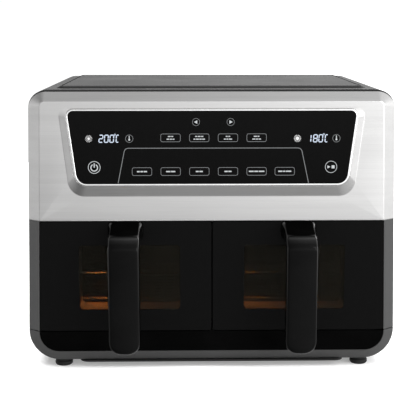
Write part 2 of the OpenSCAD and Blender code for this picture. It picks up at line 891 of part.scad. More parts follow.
basket(right);  // right_basket
handle(right);  // right_handle
handle_screws(right);  // right_handle_screws
crisper_plate(right);  // right_crisper_plate
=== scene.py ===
"""The looks of a dual-drawer air fryer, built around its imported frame.

Shapes are given in millimetres, and at(), on_panel() and MM turn them into the frame's metres.
"""
import math

import bmesh
import bpy
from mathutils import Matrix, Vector


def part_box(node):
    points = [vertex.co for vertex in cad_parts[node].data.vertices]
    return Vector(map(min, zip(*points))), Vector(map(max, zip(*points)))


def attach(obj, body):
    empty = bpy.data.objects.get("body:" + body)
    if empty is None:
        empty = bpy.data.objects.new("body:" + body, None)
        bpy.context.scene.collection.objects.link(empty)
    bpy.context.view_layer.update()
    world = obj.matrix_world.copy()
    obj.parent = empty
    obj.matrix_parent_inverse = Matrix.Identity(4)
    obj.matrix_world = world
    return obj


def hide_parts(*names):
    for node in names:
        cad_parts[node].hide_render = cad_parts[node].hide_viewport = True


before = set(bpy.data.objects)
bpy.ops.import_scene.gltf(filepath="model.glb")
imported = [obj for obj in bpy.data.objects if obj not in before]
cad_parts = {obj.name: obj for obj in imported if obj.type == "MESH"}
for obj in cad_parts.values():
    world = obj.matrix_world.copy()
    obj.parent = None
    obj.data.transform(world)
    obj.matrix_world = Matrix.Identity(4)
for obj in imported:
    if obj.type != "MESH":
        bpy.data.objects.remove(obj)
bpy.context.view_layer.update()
scene = bpy.context.scene

MM = 0.001
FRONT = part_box("left_drawer_pane")[0].y
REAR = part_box("rear_cover")[1].y
BAY = 94.0
SIDES = {"left": -1, "right": 1}
# Steps in an outline's rounded corner, and the smallest radius of one
CURVE = 14
SHARP_R = 0.05

# ---- Outlines, in millimetres: an outline has leaning sides and rounded corners, as the housing has ----


def arc(cx, cz, r, start, end, steps=CURVE):
    angles = [math.radians(start + (end - start) * i / steps) for i in range(steps + 1)]
    return [(cx + r * math.cos(a), cz + r * math.sin(a)) for a in angles]


class Outline:
    """Half widths at the bottom and top, two heights, and the radii of the bottom and top corners."""

    def __init__(self, bottom_w, top_w, bottom, top, bottom_r, top_r):
        self.bottom_half = bottom_w / 2
        self.top_half = top_w / 2
        self.bottom = bottom
        self.top = top
        self.bottom_r = bottom_r
        self.top_r = top_r
        self.lean = math.atan((self.top_half - self.bottom_half) / (top - bottom))

    def grown(self, d, top_r=None):
        """The outline drawn d further out, or further in where d is negative."""
        slope, widen = math.tan(self.lean), d / math.cos(self.lean)
        return Outline(
            2 * (self.bottom_half - d * slope + widen),
            2 * (self.top_half + d * slope + widen),
            self.bottom - d,
            self.top + d,
            max(SHARP_R, self.bottom_r + d),
            max(SHARP_R, self.top_r + d) if top_r is None else top_r,
        )

    def edge(self, z):
        """Half width at a height on the straight side."""
        return self.bottom_half + (z - self.bottom) * math.tan(self.lean)

    def corners(self):
        """The arcs at the bottom right and top right."""
        s = self.lean
        degrees = math.degrees(s)
        low = self.edge(self.bottom + self.bottom_r) - self.bottom_r / math.cos(s)
        high = self.edge(self.top - self.top_r) - self.top_r / math.cos(s)
        return (
            arc(low, self.bottom + self.bottom_r, self.bottom_r, -90, -degrees),
            arc(high, self.top - self.top_r, self.top_r, -degrees, 90),
        )

    def loop(self):
        low, high = self.corners()
        return low + high + mirrored(low + high)

    def upper(self, z):
        """The open path from height z on the right side, over the top, to height z on the left side."""
        right = [(self.edge(z), z)] + self.corners()[1]
        return right + mirrored(right)

    def lower(self, z):
        """The open path from height z on the left side, under the bottom, to height z on the right side."""
        right = self.corners()[0] + [(self.edge(z), z)]
        return mirrored(right) + right


def mirrored(points):
    return [(-x, z) for x, z in reversed(points)]


def rounded_polygon(corners, radius, steps):
    """A closed polygon with each corner turned into a curve that starts radius away from it."""
    points = []
    for i, corner in enumerate(corners):
        before, after = Vector(corners[i - 1]), Vector(corners[(i + 1) % len(corners)])
        points += soft_corner(before, Vector(corner), after, radius, steps)
    return [tuple(p) for p in points]


def soft_corner(before, corner, after, reach, steps):
    """A curve that starts and ends reach away from a corner."""
    start = corner + (before - corner).normalized() * reach
    end = corner + (after - corner).normalized() * reach
    bend = []
    for i in range(steps + 1):
        t = i / steps
        bend.append(start * (1 - t) ** 2 + corner * 2 * t * (1 - t) + end * t * t)
    return bend


def soft_path(points, reaches, steps):
    """An open path in 2D or 3D whose inner corners are curves, each with its own reach."""
    points = [Vector(p) for p in points]
    path = [points[0]]
    for before, corner, after, reach in zip(points, points[1:], points[2:], reaches):
        path += soft_corner(before, corner, after, reach, steps)
    return path + [points[-1]]


def at(x, depth, z):
    """A point in the frame, from millimetres, with its depth counted from the front plane."""
    return Vector((x * MM, FRONT + depth * MM, z * MM))


def row_at(points, depth):
    return [at(x, depth, z) for x, z in points]


# The shapes that the CAD model has, in millimetres, with depths counted from the front plane
HOUSING = Outline(409.5, 394, 9, 310, 34, 19)
PANEL = Outline(288, 310, 211, 288.5, 11, 5.5)
SURROUND = Outline(307, 329, 196.5, 291.9, 18, 8)
RIM_W = 13
RIM_D = 11
WRAP_FRONT = 12.2
REAR_START = 306
FASCIA_Z = 169
SEAM_Z = 45
FRONT_CORNER_R = 5
PLATE_W = 337
PLATE_NEAR = 48
PLATE_FAR = 292
PLATE_R = 6
PLATE_GAP = 1.5
PLATE_RISE = 2.35
PANEL_TILT = math.radians(6.6)
PANEL_PROUD = 0.2
TRIM_W = 2.4
WINDOW_BOTTOM = 69.4
WINDOW_TOP = 142
WINDOW_W = 110.5
WINDOW_X = 90.5
DOOR_GAP = 0.7
MIDDLE_GAP = 2
PANE_T = 3
FOOT_R = 10

# Where the looks differ from the CAD model: the fascia's top edge lies a little lower than the housing's and
# its rim is narrower there, the groove beside the top plate is wider, and the doors are closer together
FASCIA_DROP = 1.4
RIM_TOP_LESS = 1.7
GROOVE_W = 3.4
DOOR_REACH = 0.35


def on_panel(x, depth, z):
    """A point given upright, as the panel would be if it didn't lean back about its top edge."""
    down = z - PANEL.top
    y = depth * math.cos(PANEL_TILT) + down * math.sin(PANEL_TILT) - PANEL_PROUD
    return at(x, y, PANEL.top + down * math.cos(PANEL_TILT) - depth * math.sin(PANEL_TILT))


def panel_row(points, depth):
    return [on_panel(x, depth, z) for x, z in points]


# ---- Meshes ----


def add_rows(bm, rows, closed=False, caps=(False, False), material=0):
    """Quads between rows of points. Each row is a list of points, and closed joins its ends."""
    grid = [[bm.verts.new(p) for p in row] for row in rows]
    for low, high in zip(grid, grid[1:]):
        count = len(low) if closed else len(low) - 1
        for i in range(count):
            j = (i + 1) % len(low)
            bm.faces.new((low[i], low[j], high[j], high[i])).material_index = material
    if caps[0]:
        bm.faces.new(grid[0][::-1]).material_index = material
    if caps[1]:
        bm.faces.new(grid[-1]).material_index = material


def add_rod(bm, start, end, radius, sides=12):
    """A round rod between two points."""
    along = (end - start).normalized()
    normal = along.orthogonal().normalized()
    across = along.cross(normal)
    angles = [2 * math.pi * k / sides for k in range(sides)]
    around = [(normal * math.cos(a) + across * math.sin(a)) * radius for a in angles]
    add_rows(bm, [[p + r for r in around] for p in (start, end)], closed=True, caps=(True, True))


def add_lathe(bm, profile, centre, steps=36):
    """Turns a profile of (radius, height) pairs in metres about the upright axis through centre."""
    angles = [2 * math.pi * k / steps for k in range(steps)]
    rows = [[centre + Vector((r * math.cos(a), r * math.sin(a), h)) for a in angles] for r, h in profile]
    add_rows(bm, rows, closed=True, caps=(True, True))


def face_away(bm, centre):
    """Turns each connected part of a surface so that it faces away from a point."""
    bmesh.ops.recalc_face_normals(bm, faces=bm.faces)
    waiting = set(bm.faces)
    while waiting:
        part, edge_of_part = [], [waiting.pop()]
        while edge_of_part:
            face = edge_of_part.pop()
            part.append(face)
            for edge in face.edges:
                for near in edge.link_faces:
                    if near in waiting:
                        waiting.remove(near)
                        edge_of_part.append(near)
        if sum(f.normal.dot(f.calc_center_median() - centre) * f.calc_area() for f in part) < 0:
            bmesh.ops.reverse_faces(bm, faces=part)


def piece(name, bm, material, body, replaced=(), sharp=32, thickness=0.0, face_from=None):
    """Makes an object of a bmesh, smooth with sharp edges kept, which rides on a body."""
    bmesh.ops.remove_doubles(bm, verts=bm.verts, dist=2e-6)
    if face_from is None:
        bmesh.ops.recalc_face_normals(bm, faces=bm.faces)
    else:
        face_away(bm, face_from)
    mesh = bpy.data.meshes.new(name)
    bm.to_mesh(mesh)
    bm.free()
    obj = bpy.data.objects.new(name, mesh)
    scene.collection.objects.link(obj)
    for m in material if isinstance(material, (list, tuple)) else (material,):
        mesh.materials.append(m)
    mesh.shade_smooth()
    mesh.set_sharp_from_angle(angle=math.radians(sharp))
    if thickness:
        solid = obj.modifiers.new("Thickness", "SOLIDIFY")
        solid.thickness = thickness
        solid.offset = -1
        solid.use_even_offset = False
    obj.modifiers.new("Shading", "WEIGHTED_NORMAL").keep_sharp = True
    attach(obj, body)
    if replaced:
        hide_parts(*replaced)
    return obj


def dress(node, material, bevel=0.0004):
    """Gives a CAD node that stays a material, and rounds its edges without changing its mesh."""
    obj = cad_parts[node]
    for slot in obj.material_slots:
        slot.link = "OBJECT"
        slot.material = material
    if bevel:
        obj.modifiers.new("Weld", "WELD").merge_threshold = 1e-5
        rounding = obj.modifiers.new("Rounding", "BEVEL")
        rounding.width = bevel
        rounding.segments = 2
        rounding.limit_method = "ANGLE"
        rounding.angle_limit = math.radians(40)
        rounding.use_clamp_overlap = True
    obj.modifiers.new("Shading", "WEIGHTED_NORMAL").keep_sharp = True


# ---- Materials ----


class Shader:
    """A node material: a Principled shader whose colour, roughness and bump come from procedural textures."""

    def __init__(self, name, **values):
        self.material = bpy.data.materials.new(name)
        self.material.use_nodes = True
        self.nodes = self.material.node_tree.nodes
        self.links = self.material.node_tree.links
        self.bsdf = self.nodes["Principled BSDF"]
        for key, value in values.items():
            self.bsdf.inputs[key.replace("_", " ")].default_value = value
        self.place = self.nodes.new("ShaderNodeTexCoord").outputs["Object"]

    def mapped(self, scale):
        mapping = self.nodes.new("ShaderNodeMapping")
        mapping.inputs["Scale"].default_value = scale
        self.links.new(self.place, mapping.inputs["Vector"])
        return mapping.outputs["Vector"]

    def noise(self, scale, detail=4.0, rough=0.55, distortion=0.0, stretch=(1, 1, 1)):
        node = self.nodes.new("ShaderNodeTexNoise")
        node.inputs["Scale"].default_value = scale
        node.inputs["Detail"].default_value = detail
        node.inputs["Roughness"].default_value = rough
        node.inputs["Distortion"].default_value = distortion
        self.links.new(self.mapped(stretch), node.inputs["Vector"])
        return node.outputs["Fac"]

    def voronoi(self, scale, feature="F1", output="Distance"):
        node = self.nodes.new("ShaderNodeTexVoronoi")
        node.feature = feature
        node.inputs["Scale"].default_value = scale
        self.links.new(self.place, node.inputs["Vector"])
        return node.outputs[output]

    def ramp(self, source, stops):
        node = self.nodes.new("ShaderNodeValToRGB")
        elements = node.color_ramp.elements
        while len(elements) < len(stops):
            elements.new(0.5)
        for element, (position, colour) in zip(elements, stops):
            element.position = position
            element.color = (*colour, 1.0)
        self.links.new(source, node.inputs["Fac"])
        return node.outputs["Color"]

    def greys(self, source, low, high, start=0.3, end=0.7, warmth=0.0):
        """A grey that goes from low to high over a texture's range from start to end."""
        return self.ramp(source, [(start, grey(low, warmth)), (end, grey(high, warmth))])

    def span(self, source, low, high, start=0.3, end=0.7):
        """Maps a texture's range from start to end onto low to high."""
        node = self.nodes.new("ShaderNodeMapRange")
        node.inputs["From Min"].default_value = start
        node.inputs["From Max"].default_value = end
        node.inputs["To Min"].default_value = low
        node.inputs["To Max"].default_value = high
        self.links.new(source, node.inputs["Value"])
        return node.outputs["Result"]

    def blend(self, kind, a, b, factor):
        node = self.nodes.new("ShaderNodeMix")
        node.data_type = "RGBA"
        node.blend_type = kind
        for socket, value in ((node.inputs[6], a), (node.inputs[7], b), (node.inputs[0], factor)):
            if isinstance(value, (int, float, tuple)):
                socket.default_value = value
            else:
                self.links.new(value, socket)
        return node.outputs[2]

    def axis(self, name):
        """One coordinate in metres, in the part's own frame."""
        split = self.nodes.new("ShaderNodeSeparateXYZ")
        self.links.new(self.place, split.inputs["Vector"])
        return split.outputs[name]

    def maths(self, operation, a, b=0.0):
        node = self.nodes.new("ShaderNodeMath")
        node.operation = operation
        for socket, value in zip(node.inputs, (a, b)):
            if isinstance(value, (int, float)):
                socket.default_value = value
            else:
                self.links.new(value, socket)
        return node.outputs[0]

    def colour(self, source):
        self.links.new(source, self.bsdf.inputs["Base Color"])
        return self

    def roughness(self, source):
        self.links.new(source, self.bsdf.inputs["Roughness"])
        return self

    def gloss(self, source):
        self.links.new(source, self.bsdf.inputs["Specular IOR Level"])
        return self

    def bump(self, source, distance, strength):
        node = self.nodes.new("ShaderNodeBump")
        node.inputs["Distance"].default_value = distance
        node.inputs["Strength"].default_value = strength
        self.links.new(source, node.inputs["Height"])
        previous = self.bsdf.inputs["Normal"].links
        if previous:
            self.links.new(previous[0].from_socket, node.inputs["Normal"])
        self.links.new(node.outputs["Normal"], self.bsdf.inputs["Normal"])
        return self


def grey(value, warmth=0.0):
    return (value * (1 + warmth), value, value * (1 - warmth))


def scaled(colour, share):
    return tuple(c * share for c in colour)


def brushed_steel():
    s = Shader("brushed_steel", Metallic=1.0)
    streaks = s.noise(1.0, detail=6, rough=0.7, stretch=(14, 900, 2600))
    bands = s.noise(1.0, detail=3, stretch=(2.5, 60, 130))
    smudges = s.noise(9, detail=3)
    shade = s.greys(streaks, 0.52, 0.62, 0.25, 0.75, warmth=0.004)
    s.colour(s.blend("MULTIPLY", shade, s.greys(bands, 0.93, 1.0), 1.0))
    s.roughness(s.maths("ADD", s.span(streaks, 0.28, 0.42), s.span(smudges, -0.06, 0.06)))
    return s.bump(streaks, 0.00002, 0.55).material


def bright_trim():
    s = Shader("bright_trim", Metallic=1.0)
    wear = s.noise(160, detail=5)
    s.colour(s.greys(wear, 0.74, 0.84))
    return s.roughness(s.span(wear, 0.16, 0.28)).bump(wear, 0.00001, 0.3).material


def panel_glass():
    s = Shader("panel_glass")
    # Painted reflection: the glass reflects more towards its top
    s.gloss(s.span(s.axis("Z"), 0.003, 0.013, 0.215, 0.285))
    smudges = s.noise(14, detail=5, rough=0.65, distortion=0.6)
    dust = s.noise(2400, detail=2)
    s.colour(s.greys(dust, 0.0022, 0.005, 0.5, 0.82))
    return s.roughness(s.span(smudges, 0.06, 0.15)).material


def door_glass():
    s = Shader("door_glass", Specular_IOR_Level=0.018)
    smudges = s.noise(11, detail=5, rough=0.6, distortion=0.8)
    dust = s.noise(2100, detail=2)
    s.colour(s.greys(dust, 0.0022, 0.0045, 0.5, 0.85))
    return s.roughness(s.span(smudges, 0.05, 0.12)).material


def window_glass(name, tint, level, alpha):
    """Smoked glass, whose alpha is the share of light that it keeps back."""
    s = Shader(name, Specular_IOR_Level=level, Alpha=alpha)
    smudges = s.noise(13, detail=4, distortion=0.7)
    s.colour(s.ramp(smudges, [(0.3, tint), (0.7, scaled(tint, 0.8))]))
    return s.roughness(s.span(smudges, 0.05, 0.12)).material


def moulded(name, value, rough, depth=0.00003, warmth=0.0, level=0.5, top=None):
    """Moulded plastic with a fine spark-eroded texture.

    Its top may be darker and duller, as painted shade: top is (height where that starts, where it is full,
    shade, gloss).
    """
    s = Shader(name, Specular_IOR_Level=level)
    fine = s.noise(2300, detail=3, rough=0.6)
    pits = s.voronoi(1380, "SMOOTH_F1")
    broad = s.noise(13, detail=3)
    shade = s.greys(fine, value * 0.85, value * 1.15, warmth=warmth)
    shade = s.blend("MULTIPLY", shade, s.greys(broad, 0.92, 1.0), 1.0)
    if top:
        low, high, darker, duller = top
        z = s.axis("Z")
        # Painted shade: the top is darkened and dulled by height
        dark = s.blend("MULTIPLY", shade, (*grey(darker), 1.0), 1.0)
        shade = s.blend("MIX", shade, dark, s.span(z, 0.0, 1.0, low, high))
        s.gloss(s.span(z, level, duller, low, high))
    s.colour(shade)
    s.roughness(s.maths("ADD", s.span(broad, rough - 0.04, rough + 0.04), s.span(fine, -0.04, 0.04)))
    return s.bump(fine, depth, 0.6).bump(pits, depth * 0.7, 0.4).material


# The handle's gloss by height in millimetres, on its faces and what its long edges add to that: painted
# highlights and painted shade
GLOSS_FROM, GLOSS_TO = 30, 170
HANDLE_FACE_GLOSS = [
    (30, 0.10), (60, 0.085), (146, 0.07), (153, 0.10),
    (156.4, 0.26), (158.0, 0.62), (159.4, 0.2), (160.4, 0.0),
]
HANDLE_EDGE_GLOSS = [(30, 0.05), (80, 0.12), (105, 0.36), (150, 0.75), (158, 0.45), (170, 0.30)]


def gloss_stops(table):
    return [((z - GLOSS_FROM) / (GLOSS_TO - GLOSS_FROM), grey(value)) for z, value in table]


def handle_plastic():
    s = Shader("handle_plastic")
    fine = s.noise(1900, detail=3)
    broad = s.noise(30, detail=4, distortion=0.5)
    s.colour(s.greys(broad, 0.0006, 0.0012))
    # Painted highlights along the bend and the edges, and painted shade on the top of the neck, which is left
    # with no gloss
    z = s.span(s.axis("Z"), 0.0, 1.0, GLOSS_FROM * MM, GLOSS_TO * MM)
    across = s.maths("ABSOLUTE", s.maths("SUBTRACT", s.maths("ABSOLUTE", s.axis("X")), BAY * MM))
    painted_edge_highlight = s.span(across, 0.0, 1.0, 0.0149, 0.0165)
    added = s.maths("MULTIPLY", s.ramp(z, gloss_stops(HANDLE_EDGE_GLOSS)), painted_edge_highlight)
    s.gloss(s.maths("ADD", s.ramp(z, gloss_stops(HANDLE_FACE_GLOSS)), added))
    s.roughness(s.span(broad, 0.13, 0.20))
    return s.bump(fine, 0.000012, 0.4).material


def gloss_plastic():
    s = Shader("gloss_black", Specular_IOR_Level=0.004)
    broad = s.noise(25, detail=5, distortion=0.5)
    flow = s.noise(300, detail=2)
    s.colour(s.greys(broad, 0.0008, 0.0013))
    return s.roughness(s.span(broad, 0.16, 0.26)).bump(flow, 0.00001, 0.3).material


def rubber():
    s = Shader("rubber", Specular_IOR_Level=0.2)
    fine = s.noise(1400, detail=4)
    broad = s.noise(90, detail=3)
    s.colour(s.greys(broad, 0.005, 0.010))
    return s.roughness(s.span(fine, 0.55, 0.75)).bump(fine, 0.00005, 0.7).material


def sheet_steel(name="sheet_steel", value=0.52, warmth=0.0):
    s = Shader(name, Metallic=1.0)
    spangle = s.voronoi(260, output="Color")
    fine = s.noise(500, detail=5, stretch=(0.2, 1, 1))
    shade = s.greys(fine, value * 0.92, value, warmth=warmth)
    s.colour(s.blend("MULTIPLY", shade, s.greys(spangle, 0.9, 1.0, 0.0, 1.0), 1.0))
    return s.roughness(s.span(fine, 0.30, 0.45)).bump(fine, 0.00002, 0.4).material


def tunnel_lining():
    """The lining behind a window: its pale, worn colour along its floor, and painted shade above it, near
    black.
    """
    s = Shader("tunnel_lining", Metallic=0.2, Specular_IOR_Level=0.3)
    stain = s.noise(60, detail=5, distortion=0.6)
    fine = s.noise(900, detail=3)
    worn = s.ramp(stain, [(0.3, (0.24, 0.21, 0.17)), (0.7, (0.34, 0.30, 0.25))])
    # Painted shade: above the floor the lining is near black
    upper = s.span(s.axis("Z"), 0.0, 1.0, (WINDOW_BOTTOM + 5) * MM, (WINDOW_BOTTOM + 8) * MM)
    s.colour(s.blend("MIX", worn, (0.012, 0.010, 0.008, 1.0), upper))
    return s.roughness(s.span(stain, 0.35, 0.5)).bump(fine, 0.00002, 0.4).material


def nonstick():
    s = Shader("nonstick", Specular_IOR_Level=0.5, Coat_Weight=0.15, Coat_Roughness=0.3)
    specks = s.noise(1500, detail=2)
    broad = s.noise(40, detail=4)
    s.colour(s.ramp(specks, [(0.55, grey(0.014)), (0.72, grey(0.022)), (0.80, grey(0.10))]))
    return s.roughness(s.span(broad, 0.34, 0.46)).bump(specks, 0.00003, 0.5).material


def heater_sheath():
    s = Shader("heater_sheath", Metallic=0.55)
    scale = s.noise(420, detail=6, rough=0.7)
    stain = s.noise(35, detail=4, distortion=1.0)
    sheath = s.ramp(scale, [(0.3, (0.05, 0.044, 0.04)), (0.7, (0.13, 0.115, 0.10))])
    s.colour(s.blend("MIX", sheath, (0.10, 0.06, 0.035, 1.0), s.span(stain, 0.0, 0.6)))
    return s.roughness(s.span(scale, 0.45, 0.7)).bump(scale, 0.0001, 0.6).material


def circuit_board():
    s = Shader("circuit_board", Specular_IOR_Level=0.5)
    tracks = s.voronoi(260, "DISTANCE_TO_EDGE")
    fine = s.noise(700, detail=3)
    copper = s.ramp(tracks, [(0.04, (0.05, 0.22, 0.09)), (0.09, (0.012, 0.09, 0.035))])
    s.colour(s.blend("MIX", copper, (0.008, 0.06, 0.025, 1.0), s.span(fine, 0.0, 0.4)))
    return s.roughness(s.span(fine, 0.25, 0.4)).bump(tracks, 0.00003, 0.4).material


def insulation_mat():
    s = Shader("insulation_mat", Sheen_Weight=0.3)
    fibres = s.noise(900, detail=8, rough=0.8, distortion=2.0)
    lumps = s.noise(90, detail=3)
    s.colour(s.ramp(fibres, [(0.25, (0.55, 0.52, 0.44)), (0.75, (0.86, 0.83, 0.74))]))
    return s.roughness(s.span(lumps, 0.85, 1.0)).bump(fibres, 0.0004, 0.8).material


def lit(name, colour, strength):
    """A lit surface, such as a lamp's glass or a display's segments, slightly uneven as real ones are."""
    s = Shader(name, Emission_Strength=strength, Specular_IOR_Level=0.2)
    uneven = s.noise(600, detail=2)
    glow = s.ramp(uneven, [(0.3, scaled(colour, 0.88)), (0.7, colour)])
    s.links.new(glow, s.bsdf.inputs["Emission Color"])
    s.colour(s.ramp(uneven, [(0.3, scaled(colour, 0.02)), (0.7, scaled(colour, 0.03))]))
    return s.roughness(s.span(uneven, 0.3, 0.45)).material


def floor_paper():
    white = (1.0, 1.0, 1.0, 1.0)
    s = Shader("floor_paper", Specular_IOR_Level=0.0, Emission_Color=white, Emission_Strength=0.27)
    grain = s.noise(500, detail=3)
    broad = s.noise(1.3, detail=2)
    s.colour(s.blend("MULTIPLY", s.greys(grain, 0.89, 0.90), s.greys(broad, 0.99, 1.0), 1.0))
    return s.roughness(s.span(grain, 0.85, 0.95)).material


STEEL = brushed_steel()
TRIM = bright_trim()
PANEL_GLASS = panel_glass()
DOOR_GLASS = door_glass()
OUTER_WINDOW = window_glass("outer_window", (0.0050, 0.0045, 0.0031), 0.03, 0.62)
INNER_WINDOW = window_glass("inner_window", (0.004, 0.003, 0.002), 0.2, 0.35)
# Painted shade: the housing's top and the top plate are the charcoal plastic made darker and duller
TOP_PAINTED_SHADE = (0.295, 0.3085, 0.58, 0.05)
CHARCOAL = moulded("charcoal_plastic", 0.038, 0.46, depth=0.00004, level=0.18, top=TOP_PAINTED_SHADE)
TOP_CHARCOAL_PAINTED_SHADE = moulded("top_charcoal_painted_shade", 0.0235, 0.5, depth=0.00005, level=0.055)
BASE = moulded("base_charcoal", 0.036, 0.46, depth=0.00004, level=0.18)
BLACK = moulded("black_plastic", 0.006, 0.48, level=0.25)
# Painted shadow: dark plastic with no reflection, for the wrap's lip, the plate's edge line and the groove
PAINTED_SHADOW = moulded("groove_shadow", 0.016, 0.8, level=0.0)
GLOSS = gloss_plastic()
HANDLE = handle_plastic()
RUBBER = rubber()
SHEET = sheet_steel()
LINING = tunnel_lining()
ZINC = sheet_steel("zinc_plate", 0.62)
MOTOR = sheet_steel("motor_can", 0.48, 0.02)
NONSTICK = nonstick()
SHEATH = heater_sheath()
BOARD = circuit_board()
COMPONENT = moulded("component_plastic", 0.04, 0.35)
FAN_PLASTIC = moulded("cooling_fan_plastic", 0.62, 0.38, warmth=0.02)
MAT = insulation_mat()
ENAMEL = moulded("wire_enamel", 0.5, 0.35, depth=0.00001, warmth=0.03, level=0.3)
LAMP = lit("lamp_glass", (1.0, 0.42, 0.10), 9.0)
DIGITS = lit("display_light", (0.74, 0.84, 1.0), 1.0)
SYMBOLS = lit("symbol_light", (0.90, 0.94, 0.96), 0.68)
FAINT = lit("line_light", (0.94, 0.98, 1.0), 0.2)
BRIGHT = lit("indicator_light", (1.0, 1.0, 1.0), 0.9)

# ---- Fascia and controls ----

MIDDLE = Vector((0.0, (FRONT + REAR) / 2, 0.17))


def rim_outline(inset):
    """The fascia's outline at a distance in from the housing's, with its top moved as the looks have it."""
    share = min(1.0, inset / RIM_W)
    top_r = HOUSING.top_r + (FRONT_CORNER_R - HOUSING.top_r) * share
    outline = HOUSING.grown(-inset, top_r=max(3.5, top_r))
    top = outline.top - FASCIA_DROP * (1 - share) + RIM_TOP_LESS * share
    widths = (2 * outline.bottom_half, 2 * outline.edge(top))
    return Outline(*widths, outline.bottom, top, outline.bottom_r, outline.top_r)


def make_fascia():
    bm = bmesh.new()
    fold_z = FASCIA_Z + 1.2
    flat_inset = RIM_W + 0.9
    rim = rim_outline(flat_inset)
    half = rim.edge(fold_z)
    flat_edge = Outline(2 * half, 2 * rim.top_half, fold_z, rim.top, SHARP_R, rim.top_r)
    # The wedge around the glass, from behind the trim on the leaning plane to the flat front
    lip_in = panel_row(PANEL.grown(TRIM_W - 0.2).loop(), 1.2)
    lip = panel_row(PANEL.grown(TRIM_W).loop(), 0.0)
    foot = row_at(SURROUND.loop(), 0)
    flat = row_at(SURROUND.grown(0.7).loop(), 0)
    columns = [soft_path(path, [0.35 * MM, 0.6 * MM], 3) for path in zip(lip_in, lip, foot, flat)]
    rows = [list(row) for row in zip(*columns)]
    add_rows(bm, rows + [row_at(flat_edge.loop(), 0)], closed=True)
    # The bevelled rim, over the top and down both sides
    profile = soft_path([(flat_inset, 0), (RIM_W, 0), (0.0, RIM_D - 0.6), (0.0, RIM_D)], [0.8, 0.5], 5)
    rows = [row_at(rim_outline(inset).upper(fold_z), depth) for inset, depth in profile]
    over = row_at(flat_edge.loop()[CURVE + 1 : 3 * CURVE + 3], 0)
    rows[0] = [at(half, 0, fold_z)] + over + [at(-half, 0, fold_z)]
    add_rows(bm, rows)
    # The folded lower edge, and the rim's ends beside it
    fold = soft_path([(fold_z, 0), (FASCIA_Z, 0), (FASCIA_Z, 5)], [0.9], 4)
    add_rows(bm, [[at(half, d, z), at(-half, d, z)] for z, d in fold])
    for side in (-1, 1):
        upper = [at(side * rim_outline(i).edge(fold_z), d, fold_z) for i, d in profile]
        upper[0] = at(side * half, 0, fold_z)
        lower = [at(side * rim_outline(i).edge(FASCIA_Z), d, FASCIA_Z) for i, d in profile]
        lower[0] = at(side * half, 0.25, FASCIA_Z + 0.25)
        add_rows(bm, [upper, lower])
    piece("fascia_sheet", bm, STEEL, "housing", ["fascia"], thickness=1.2 * MM,
          face_from=MIDDLE, sharp=40)


def make_trim():
    bm = bmesh.new()
    outer = TRIM_W - 0.1
    section = [(outer, 1.3), (outer, 0.15), (outer - 0.5, -0.25), (0.6, -0.4), (0.1, -0.05), (0.1, 1.3)]
    rows = [panel_row(PANEL.grown(g).loop(), d) for g, d in section]
    rows.append(rows[0])
    add_rows(bm, rows, closed=True)
    piece("panel_trim_ring", bm, TRIM, "housing", ["panel_trim"], sharp=60)


def make_panel_glass():
    bm = bmesh.new()
    section = [(0.13, 3.0), (0.13, 0.5), (-0.35, 0.2)]
    rows = [panel_row(PANEL.grown(g).loop(), d) for g, d in section]
    add_rows(bm, rows, closed=True, caps=(True, True))
    piece("panel_glass_sheet", bm, PANEL_GLASS, "housing", ["control_glass"])


# ---- The lit symbols: thin shapes on the glass, each given upright in millimetres ----

GLASS_FACE = 0.2
SYMBOL_T = 0.09


def add_flat(bm, points):
    """A thin plate of this outline on the glass."""
    front = panel_row(points, GLASS_FACE - SYMBOL_T)
    back = panel_row(points, GLASS_FACE + 0.02)
    add_rows(bm, [back, front], closed=True, caps=(True, True))


def add_band(bm, points, width, closed=False):
    """A thin line of this width along a path on the glass."""
    path = [Vector(p) for p in points]
    outer, inner = [], []
    count = len(path)
    for i, p in enumerate(path):
        before = path[i - 1] if i or closed else p
        after = path[(i + 1) % count] if i + 1 < count or closed else p
        along = (after - before).normalized()
        across = Vector((-along.y, along.x)) * width / 2
        outer.append(tuple(p + across))
        inner.append(tuple(p - across))
    if not closed:
        add_flat(bm, outer + inner[::-1])
        return
    rows = [panel_row(outer, GLASS_FACE + 0.02), panel_row(outer, GLASS_FACE - SYMBOL_T)]
    rows += [panel_row(inner, GLASS_FACE - SYMBOL_T), panel_row(inner, GLASS_FACE + 0.02)]
    rows.append(rows[0])
    add_rows(bm, rows, closed=True)


def circle(x, z, r, steps=28):
    return arc(x, z, r, 0, 360 * (steps - 1) / steps, steps - 1)


def pill(x, z, w, h, r):
    corners = [(x + i * w / 2, z + j * h / 2) for i, j in ((1, -1), (1, 1), (-1, 1), (-1, -1))]
    return rounded_polygon(corners, r, 5)


SEGMENTS = {"0": "abcdef", "1": "bc", "2": "abged", "8": "abcdefg", "C": "adef"}
DIGIT_W = 3.9
DIGIT_H = 7.6
DIGIT_STROKE = 1.05
DIGIT_SLANT = 0.07


def add_digit(bm, character, x, z, w=DIGIT_W):
    """One seven-segment numeral whose lower left corner is at x, z."""
    gap = 0.1
    h, half = DIGIT_H, DIGIT_H / 2
    places = {
        "a": ((0, h), (w, h)), "b": ((w, h), (w, half)), "c": ((w, half), (w, 0)), "d": ((0, 0), (w, 0)),
        "e": ((0, half), (0, 0)), "f": ((0, h), (0, half)), "g": ((0, half), (w, half)),
    }
    for segment in SEGMENTS[character]:
        start, end = (Vector(p) for p in places[segment])
        along = (end - start).normalized()
        across = Vector((-along.y, along.x)) * DIGIT_STROKE / 2
        start, end = start + along * gap, end - along * gap
        tip = along * DIGIT_STROKE / 2
        points = [start, start + tip + across, end - tip + across]
        points += [end, end - tip - across, start + tip - across]
        add_flat(bm, [(x + p.x + DIGIT_SLANT * p.y, z + p.y) for p in points])


def add_ring(bm, x, z, r, width):
    add_band(bm, circle(x, z, r), width, closed=True)


